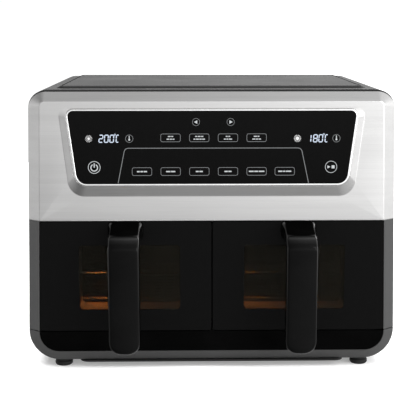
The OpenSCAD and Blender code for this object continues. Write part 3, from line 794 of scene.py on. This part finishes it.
# Places on the glass: sideways from the middle and up from the floor, as if the panel stood upright
READOUT_Z = 259.2
UPPER_KEYS = [-44.5, -13.8, 16.9, 47.6]
UPPER_KEY_Z = 260.0
LOWER_KEYS = [-75.2, -44.5, -13.8, 16.9, 47.6, 77.8]
LOWER_KEY_Z = 224.0
KEY_W, KEY_H = 20.9, 8.4
ROUND_KEYS = {"power": (-126.2, 228.6), "play": (127.6, 228.6)}
ARROWS = [-17.2, 19.8]
ARROW_Z = 276.8
THERMOMETERS = [-88.6, 133.2]
DIVIDER = [(-100.8, 211.6), (-93.4, 249.0), (95.6, 249.0), (103.4, 211.6)]
# Widths of the dashes on each key
UPPER_MARKS = [(2.3, 1.6, 1.6), (1.6, 2.3, 1.9, 2.3), (1.6, 1.6, 2.6), (2.6, 1.6, 2.0)]
LOWER_MARKS = [(2.1, 2.1, 2.4), (3.2, 3.2), (2.2, 2.6), (2.4, 2.4), (3.6, 2.8, 4.2), (3.2, 1.6, 4.0)]


def make_digits():
    bm = bmesh.new()
    foot = READOUT_Z - DIGIT_H / 2
    for text, left in (("200", -121.0), ("180", 105.6)):
        x = left
        for character in text:
            narrow = character == "1"
            add_digit(bm, character, x - (DIGIT_W if narrow else 0), foot)
            x += 2.8 if narrow else 5.8
        add_ring(bm, x - 0.3, foot + 8.1, 0.75, 0.45)
        add_digit(bm, "C", x + 0.9, foot, w=2.7)
    piece("display_digits", bm, DIGITS, "housing")


def make_symbols():
    bm = bmesh.new()
    # Power key
    x, z = ROUND_KEYS["power"]
    add_ring(bm, x, z, 6.4, 0.62)
    add_band(bm, arc(x, z - 0.3, 3.6, 118, 422), 1.1)
    add_flat(bm, pill(x, z + 2.1, 1.15, 4.8, 0.4))
    # Start and stop key
    x, z = ROUND_KEYS["play"]
    add_ring(bm, x, z, 6.2, 0.5)
    add_flat(bm, [(x - 3.9, z - 1.7), (x - 0.7, z), (x - 3.9, z + 1.7)])
    add_flat(bm, pill(x + 2.2, z, 3.2, 3.3, 0.4))
    # Arrows that choose a drawer
    for x, way in zip(ARROWS, (-1, 1)):
        tip, foot, half = x + way * 2.2, x - way * 1.3, 1.9
        add_flat(bm, [(tip, ARROW_Z), (foot, ARROW_Z + half), (foot, ARROW_Z - half)])
    # Thermometers
    for x in THERMOMETERS:
        add_flat(bm, pill(x, READOUT_Z + 1.1, 0.9, 3.8, 0.4))
        add_flat(bm, circle(x, READOUT_Z - 1.2, 1.0, 16))
    piece("key_symbols", bm, SYMBOLS, "housing")


def make_indicators():
    bm = bmesh.new()
    rays = 14
    for x, r, wide in ((-131.8, 1.45, 0.42), (91.4, 1.9, 0.6)):
        add_flat(bm, circle(x, READOUT_Z, r, 24))
        for k in range(rays):
            a = 2 * math.pi * k / rays
            way = Vector((math.cos(a), math.sin(a)))
            middle = Vector((x, READOUT_Z))
            add_band(bm, [middle + way * (r + 0.5), middle + way * 3.9], wide)
    piece("lamp_indicators", bm, BRIGHT, "housing")


def make_key_lines():
    bm = bmesh.new()
    for xs, z in ((UPPER_KEYS, UPPER_KEY_Z), (LOWER_KEYS, LOWER_KEY_Z)):
        for x in xs:
            add_band(bm, pill(x, z, KEY_W, KEY_H, 2.2), 0.46, closed=True)
    add_band(bm, soft_path(DIVIDER, [4.2, 4.2], 8), 0.72)
    for x in ARROWS:
        add_ring(bm, x, ARROW_Z, 3.9, 0.4)
    for x in THERMOMETERS:
        add_ring(bm, x, READOUT_Z, 4.0, 0.45)
    piece("key_outlines", bm, FAINT, "housing")


def make_key_marks():
    """Rows of generic dashes on the keys."""
    bm = bmesh.new()
    for x, widths in zip(UPPER_KEYS, UPPER_MARKS):
        for line, dz in ((widths[:-1], 1.45), (widths, -1.45)):
            add_dashes(bm, x, UPPER_KEY_Z + dz, [w * 1.3 for w in line], 1.1)
    for x, widths in zip(LOWER_KEYS, LOWER_MARKS):
        add_dashes(bm, x, LOWER_KEY_Z, [w * 1.45 for w in widths], 1.35)
    piece("key_marks", bm, SYMBOLS, "housing")


def add_dashes(bm, x, z, widths, height):
    gap = 0.6
    total = sum(widths) + gap * (len(widths) - 1)
    left = x - total / 2
    for w in widths:
        add_flat(bm, pill(left + w / 2, z, w, height, 0.25))
        left += w + gap


make_fascia()
make_trim()
make_panel_glass()
make_digits()
make_symbols()
make_indicators()
make_key_lines()
make_key_marks()

# ---- Housing ----

# Where the wrap's sides begin below the fascia, and how deep the lip on its top is, which has painted shade
JOIN_Z = FASCIA_Z - 0.25
LIP_D = 11
BACK = [(0.0, REAR_START - 0.8), (0.6, REAR_START)]


def side_rim(end):
    """The bevelled rim's section beside the drawers, as (inset, depth) pairs that end at this depth."""
    return soft_path([(RIM_W, 14), (RIM_W, 0.0), (0.0, RIM_D - 0.3), (0.0, end)], [1.8, 1.4], 5)


def make_wrap():
    bm = bmesh.new()
    # Over the top, behind the fascia, with a lip in painted shade
    lip = [(3.0, RIM_D + 0.1), (0.3, RIM_D + 0.1), (0.0, RIM_D + 0.5), (0.0, RIM_D + LIP_D)]
    add_rows(bm, [row_at(HOUSING.grown(-inset).upper(JOIN_Z), depth) for inset, depth in lip], material=1)
    for face in bm.faces:
        if face.calc_center_median().z < (HOUSING.top - HOUSING.top_r / 2) * MM:
            face.material_index = 0
    over = lip[-1:] + BACK
    add_rows(bm, [row_at(HOUSING.grown(-inset).upper(JOIN_Z), depth) for inset, depth in over])
    # Down both sides, with the bevelled rim beside the drawers
    heights = [JOIN_Z, (JOIN_Z + SEAM_Z) / 2, SEAM_Z + 0.55]
    for side in (-1, 1):
        rows = []
        for inset, depth in side_rim(WRAP_FRONT + 0.6) + BACK:
            outline = rim_outline(inset) if depth < WRAP_FRONT else HOUSING.grown(-inset)
            rows.append([at(side * outline.edge(z), depth, z) for z in heights])
        add_rows(bm, rows)
    piece("housing_wrap", bm, [CHARCOAL, PAINTED_SHADOW], "housing", ["outer_wrap"],
          thickness=2.2 * MM, face_from=MIDDLE)


def make_base():
    bm = bmesh.new()
    section = side_rim(WRAP_FRONT + 1) + BACK
    add_rows(bm, [row_at(HOUSING.grown(-inset).lower(SEAM_Z - 0.35), depth) for inset, depth in section])
    piece("base_shell", bm, BASE, "housing", ["base_tray"],
          thickness=2.2 * MM, face_from=MIDDLE)


def plan_row(x0, y0, x1, y1, r, z):
    """A rounded rectangle in plan, in millimetres with depths from the front plane, at one height."""
    points = []
    corners = ((x1 - r, y0 + r), (x1 - r, y1 - r), (x0 + r, y1 - r), (x0 + r, y0 + r))
    for i, (cx, cy) in enumerate(corners):
        points += arc(cx, cy, r, 90 * (i - 1), 90 * i, 12)
    return [at(x, d, z) for x, d in points]


def make_top_plate():
    bm = bmesh.new()
    base, top = HOUSING.top, HOUSING.top + PLATE_RISE
    section = [(0, base - 1.0), (0, top - 1.3), (0.35, top - 0.45), (1.2, top)]
    rows = [plate_row(inset, z) for inset, z in section]
    add_rows(bm, rows, closed=True, caps=(True, False))
    # A line of painted shadow just inside its edge
    line = [plate_row(1.2, top), plate_row(3.4, top)]
    add_rows(bm, line, closed=True, material=1)
    add_rows(bm, line[1:], closed=True, caps=(False, True))
    piece("top_panel", bm, [TOP_CHARCOAL_PAINTED_SHADE, PAINTED_SHADOW], "housing", ["top_plate"], sharp=50)
    # The groove around it, a flat ring of painted shadow
    bm = bmesh.new()
    x, z = PLATE_W / 2 + GROOVE_W, base + 0.04
    outer = plan_row(-x, PLATE_NEAR - PLATE_GAP, x, PLATE_FAR + PLATE_GAP, PLATE_R, z)
    add_rows(bm, [outer, plate_row(0.05, z)], closed=True)
    piece("top_groove", bm, PAINTED_SHADOW, "housing")


def plate_row(inset, z):
    """The top plate's outline, drawn in by inset, at one height."""
    x, near, far = PLATE_W / 2 - inset, PLATE_NEAR + inset, PLATE_FAR - inset
    return plan_row(-x, near, x, far, max(0.5, PLATE_R - inset), z)


def make_sill():
    bm = bmesh.new()
    path = HOUSING.grown(-RIM_W - 0.15).lower(SEAM_Z - 0.5)
    front = HOUSING.grown(-RIM_W - 0.6).lower(SEAM_Z - 0.9)
    add_rows(bm, [row_at(path, 3.0), row_at(path, 0.45), row_at(front, 0.05)], closed=True, caps=(True, True))
    piece("sill_panel", bm, GLOSS, "housing", ["front_sill"])


def make_feet():
    bm = bmesh.new()
    low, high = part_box("feet")
    r = FOOT_R * MM
    profile = [(4.2, 0), (8.6, 0), (9.6, 0.9), (FOOT_R, 2), (9.9, 4.2), (9.2, 5), (8.4, 5.4), (8.2, 9.2)]
    for x in (low.x + r, high.x - r):
        for y in (low.y + r, high.y - r):
            add_lathe(bm, [(a * MM, b * MM) for a, b in profile], Vector((x, y, 0)))
    piece("rubber_feet", bm, RUBBER, "housing", ["feet"], sharp=50)


make_wrap()
make_base()
make_top_plate()
make_sill()
make_feet()

# ---- Drawers ----


def door_outline(side, gap):
    """A drawer front's outline on its own side of the middle, as a closed path."""
    inner = MIDDLE_GAP / 2 + gap - DOOR_GAP - DOOR_REACH
    outline = HOUSING.grown(-RIM_W - gap)
    bottom, top = SEAM_Z + gap, FASCIA_Z - gap
    corners = [(inner, bottom), (outline.edge(bottom), bottom), (outline.edge(top), top), (inner, top)]
    return [(side * x, z) for x, z in rounded_polygon(corners, 2.2, 8)]


def window_outline(side, extra=0.0):
    low, high = WINDOW_BOTTOM - extra, WINDOW_TOP + extra
    x0, x1 = WINDOW_X - WINDOW_W / 2 - extra, WINDOW_X + WINDOW_W / 2 + extra
    corners = [(x0, low), (x1, low), (x1, high), (x0, high)]
    return [(side * x, z) for x, z in rounded_polygon(corners, 4.0, 8)]


def make_pane(name, side):
    bm = bmesh.new()
    steps = [(DOOR_GAP, PANE_T), (DOOR_GAP, 0.55), (DOOR_GAP + 0.16, 0.16), (DOOR_GAP + 0.55, 0.0)]
    rows = [row_at(door_outline(side, gap), depth) for gap, depth in steps]
    rows.append(row_at(window_outline(side), 0.0))
    rows.append(row_at(window_outline(side), PANE_T))
    rows.append(rows[0])
    add_rows(bm, rows, closed=True)
    body, replaced = f"{name}_drawer", [f"{name}_drawer_pane"]
    piece(f"{name}_pane_border", bm, DOOR_GLASS, body, replaced)
    bm = bmesh.new()
    rows = [row_at(window_outline(side, -0.02), depth) for depth in (PANE_T, 0.0)]
    add_rows(bm, rows, closed=True, caps=(True, True))
    piece(f"{name}_pane_window", bm, OUTER_WINDOW, body)


GUARD_DEPTH = 40.5
GUARD_HEIGHTS = [71.4, 101.3]
WIRE_R = 1.1


def make_guard(name, side):
    """Two wires across the window, which keep food off the glass."""
    bm = bmesh.new()
    half = WINDOW_W / 2 + 3
    for z in GUARD_HEIGHTS:
        ends = [at(side * WINDOW_X + x, GUARD_DEPTH, z) for x in (-half, half)]
        add_rod(bm, *ends, WIRE_R * MM)
    piece(f"{name}_window_guard", bm, ENAMEL, f"{name}_drawer")


# The handle's side profile as (depth, height), from the drawer over the top, down the grip and back
HANDLE_D = 51
GRIP_T = 17
GRIP_BOTTOM = 32.3
HANDLE_TOP = 168.2
GRIP_HALF = 16.75
NECK_HALF = 19.25
NECK_H = 18
HANDLE_PATH = [
    (0, HANDLE_TOP), (-12, HANDLE_TOP - 1), (-HANDLE_D + 11.5, HANDLE_TOP - 7.5),
    (-HANDLE_D, HANDLE_TOP - 17), (-HANDLE_D, GRIP_BOTTOM), (-HANDLE_D + GRIP_T, GRIP_BOTTOM),
    (-HANDLE_D + GRIP_T, HANDLE_TOP - NECK_H), (0, HANDLE_TOP - NECK_H),
]
HANDLE_BENDS = [6, 2.2, 5, 7.8, 7, 13]


def moved_in(points, amount):
    """An open 2D path moved to its right-hand side by amount, with its ends kept at their depth."""
    moved = []
    for i, p in enumerate(points):
        before = points[max(i - 1, 0)]
        after = points[min(i + 1, len(points) - 1)]
        along = (after - before).normalized()
        if i in (0, len(points) - 1):
            along = Vector((math.copysign(1, along.x), 0))
        moved.append(p + Vector((-along.y, along.x)) * amount)
    return moved


def smooth(value, low, high):
    t = min(1.0, max(0.0, (value - low) / (high - low)))
    return t * t * (3 - 2 * t)


def densify(points, step):
    """More points along an open path's straight stretches."""
    path = [points[0]]
    for a, b in zip(points, points[1:]):
        pieces = max(1, math.ceil((b - a).length / step))
        path += [a.lerp(b, i / pieces) for i in range(1, pieces + 1)]
    return path


def make_handle(name, side):
    bm = bmesh.new()
    path = densify(soft_path(HANDLE_PATH, HANDLE_BENDS, 9), 5.0)
    edge_r, end_r, edge_steps = 3.4, 14, 6
    angles = [math.radians(90 * k / edge_steps) for k in range(edge_steps + 1)]
    stations = sorted((edge_r * (1 - math.sin(a)) - GRIP_HALF, edge_r * (1 - math.cos(a))) for a in angles)
    middle = [(-GRIP_HALF + edge_r) * (1 - 2 * i / 8) for i in range(1, 8)]
    stations += [(x, 0.0) for x in middle]
    stations += [(-x, inset) for x, inset in reversed(stations[: edge_steps + 1])]
    rows = []
    for x, inset in stations:
        row = []
        share = abs(x) / GRIP_HALF
        for p in moved_in(path, inset):
            depth, z = p
            # The neck widens towards the drawer, and the lower end is rounded across its width
            wide = 1 + (NECK_HALF / GRIP_HALF - 1) * smooth(depth, -18, -3)
            drop = max(0.0, abs(x) - (GRIP_HALF - end_r))
            lift = end_r - math.sqrt(max(0.0, end_r ** 2 - drop ** 2))
            z += lift * (1 - smooth(z, GRIP_BOTTOM, GRIP_BOTTOM + 42)) * 0.86
            # A crown across the top and the front
            z -= 1.7 * share ** 2 * smooth(z, 140, 150) * (1 - smooth(depth, -30, -8))
            depth += 1.1 * share ** 2 * (1 - smooth(depth, -HANDLE_D + 4, -HANDLE_D + 10))
            row.append(at(side * BAY + x * wide, depth, z))
        rows.append(row)
    add_rows(bm, rows, closed=True, caps=(True, True))
    body, replaced = f"{name}_drawer", [f"{name}_handle"]
    handle = piece(f"{name}_handle_grip", bm, HANDLE, body, replaced, sharp=50)
    handle.visible_glossy = False


for name, side in SIDES.items():
    make_pane(name, side)
    make_guard(name, side)
    make_handle(name, side)

# ---- CAD nodes that stay, with their own materials ----

COMMON = {
    "panel_carrier": BLACK, "display_board": BOARD, "display_modules": BLACK, "rear_cover": CHARCOAL,
    "rear_spacers": RUBBER, "housing_screws": ZINC, "outlet_ducts": BLACK, "cord_gland": RUBBER,
    "bottom_pan": BLACK, "front_frame": BLACK, "drawer_rails": SHEET, "drawer_switches": BLACK,
    "insulation": MAT, "motor_deck": SHEET, "power_board": BOARD, "power_components": COMPONENT,
    "temperature_probes": ZINC, "chamber_lamps": LAMP,
}
PER_SIDE = {
    "chamber": SHEET, "heater": SHEATH, "heater_guard": SHEET, "motor": MOTOR, "shaft": ZINC,
    "convection_fan": SHEET, "cooling_fan": FAN_PLASTIC, "drawer_frame": BLACK, "window_liner": LINING,
    "window_glass": INNER_WINDOW, "window_seal": RUBBER, "window_clamp": SHEET, "basket": NONSTICK,
    "handle_screws": ZINC, "crisper_plate": NONSTICK,
}
UNBEVELLED = {"window_glass", "heater", "shaft", "window_liner"}

for node, material in COMMON.items():
    dress(node, material)
for name in SIDES:
    for node, material in PER_SIDE.items():
        dress(f"{name}_{node}", material, 0.0 if node in UNBEVELLED else 0.0003)

# ---- Stage, lights and camera ----


def make_floor():
    bm = bmesh.new()
    size = 1.6
    rows = [[Vector((x, y, 0)) for x in (-size, size)] for y in (-size, size)]
    add_rows(bm, rows)
    mesh = bpy.data.meshes.new("floor")
    bm.to_mesh(mesh)
    bm.free()
    mesh.materials.append(floor_paper())
    obj = bpy.data.objects.new("floor", mesh)
    scene.collection.objects.link(obj)
    obj.visible_glossy = False


def area_light(name, position, target, size, power, colour=(1, 1, 1), glossy=True):
    data = bpy.data.lights.new(name, "AREA")
    data.shape = "RECTANGLE"
    data.size, data.size_y = size
    data.energy = power
    data.color = colour
    obj = bpy.data.objects.new(name, data)
    obj.location = position
    obj.rotation_euler = (Vector(target) - Vector(position)).to_track_quat("-Z", "Y").to_euler()
    obj.visible_camera = False
    obj.visible_glossy = glossy
    scene.collection.objects.link(obj)


def point_light(name, position, power, colour, radius):
    data = bpy.data.lights.new(name, "POINT")
    data.energy = power
    data.color = colour
    data.shadow_soft_size = radius
    obj = bpy.data.objects.new(name, data)
    obj.location = position
    obj.visible_camera = False
    obj.visible_glossy = False
    scene.collection.objects.link(obj)


# The studio's shades by direction: to the left and right, to the front and back, and down and up
SIDE_SHADES = [(-1.0, 0.86), (-0.5, 0.30), (-0.05, 0.84), (0.4, 1.36), (1.0, 1.38)]
DEPTH_SHADES = [(-1.0, 1.45), (-0.3, 1.15), (0.3, 1.1), (0.8, 1.5)]
HEIGHT_SHADES = [(-1.0, 0.42), (-0.35, 0.60), (-0.12, 1.0), (0.03, 1.0), (0.15, 1.25), (0.5, 0.75), (1, 0.7)]


def make_world():
    """A studio that is bright to the right and at the horizon, and dimmer overhead and on the left."""
    world = bpy.data.worlds.new("studio")
    world.use_nodes = True
    nodes, links = world.node_tree.nodes, world.node_tree.links
    direction = nodes.new("ShaderNodeTexCoord").outputs["Generated"]
    split = nodes.new("ShaderNodeSeparateXYZ")
    links.new(direction, split.inputs["Vector"])
    shades = []
    for axis, stops in (("X", SIDE_SHADES), ("Y", DEPTH_SHADES), ("Z", HEIGHT_SHADES)):
        spread = nodes.new("ShaderNodeMapRange")
        spread.inputs["From Min"].default_value = -1.0
        links.new(split.outputs[axis], spread.inputs["Value"])
        ramp = nodes.new("ShaderNodeValToRGB")
        while len(ramp.color_ramp.elements) < len(stops):
            ramp.color_ramp.elements.new(0.5)
        for element, (position, value) in zip(ramp.color_ramp.elements, stops):
            element.position = (position + 1) / 2
            element.color = (value, value, value, 1.0)
        links.new(spread.outputs["Result"], ramp.inputs["Fac"])
        shades.append(ramp.outputs["Color"])
    first, second = nodes.new("ShaderNodeVectorMath"), nodes.new("ShaderNodeVectorMath")
    for node, a, b in ((first, shades[0], shades[1]), (second, first.outputs["Vector"], shades[2])):
        node.operation = "MULTIPLY"
        links.new(a, node.inputs[0])
        links.new(b, node.inputs[1])
    links.new(second.outputs["Vector"], nodes["Background"].inputs["Color"])
    scene.world = world


make_floor()
make_world()
area_light("key", (0.9, -1.0, 0.6), (0.08, FRONT, 0.18), (0.5, 0.8), 8)
area_light("floor_wash", (0, -0.35, 2.2), (0, -0.35, 0.0), (2.6, 3.2), 150, glossy=False)

AMBER = (1.0, 0.30, 0.055)
# Amber light on each guard wire: its left and right ends and its height in millimetres, and its power
GLEAMS = {
    "left": [(-139, -121, GUARD_HEIGHTS[1] + 6, 0.015), (-144, -104, GUARD_HEIGHTS[0] + 6, 0.011)],
    "right": [(40, 48, GUARD_HEIGHTS[1] + 6, 0.005), (38, 58, GUARD_HEIGHTS[0] + 6, 0.005)],
}
# Amber light on the floor behind each window: its width in millimetres and its power
SPILLS = {"left": (34, 0.036), "right": (16, 0.013)}


def light_drawer(name, side):
    """The chamber's lamp, and what of its light shows in the window."""
    low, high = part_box("chamber_lamps")
    point_light(f"{name}_glow", (side * BAY * MM, (low.y + high.y) / 2, low.z - 0.012), 0.4, AMBER, 0.008)
    for i, (left, right, height, power) in enumerate(GLEAMS[name]):
        place = at((left + right) / 2, GUARD_DEPTH, height)
        size = ((right - left) * MM, 0.003)
        area_light(f"{name}_gleam_{i}", place, place - Vector((0, 0, 0.05)), size, power, AMBER, glossy=False)
    width, power = SPILLS[name]
    place = at(side * WINDOW_X - WINDOW_W / 2 + 3 + width / 2, 20, WINDOW_BOTTOM + 24)
    aim = place - Vector((0.002, 0, 0.05))
    area_light(f"{name}_spill", place, aim, (width * MM, 0.01), power, AMBER, glossy=False)


for name, side in SIDES.items():
    light_drawer(name, side)

# The camera stands a little to the left of the middle and looks down at the front
CAMERA_DOWN, CAMERA_TURN = 10.33, 1.04
camera_data = bpy.data.cameras.new("camera")
camera_data.lens = 88.6
camera_data.sensor_width = 36.0
camera = bpy.data.objects.new("camera", camera_data)
camera.location = at(-22.3, -1104.4, 382.4)
camera.rotation_euler = (math.radians(90 - CAMERA_DOWN), 0.0, math.radians(-CAMERA_TURN))
scene.collection.objects.link(camera)
scene.camera = camera
scene.view_settings.view_transform = "Standard"
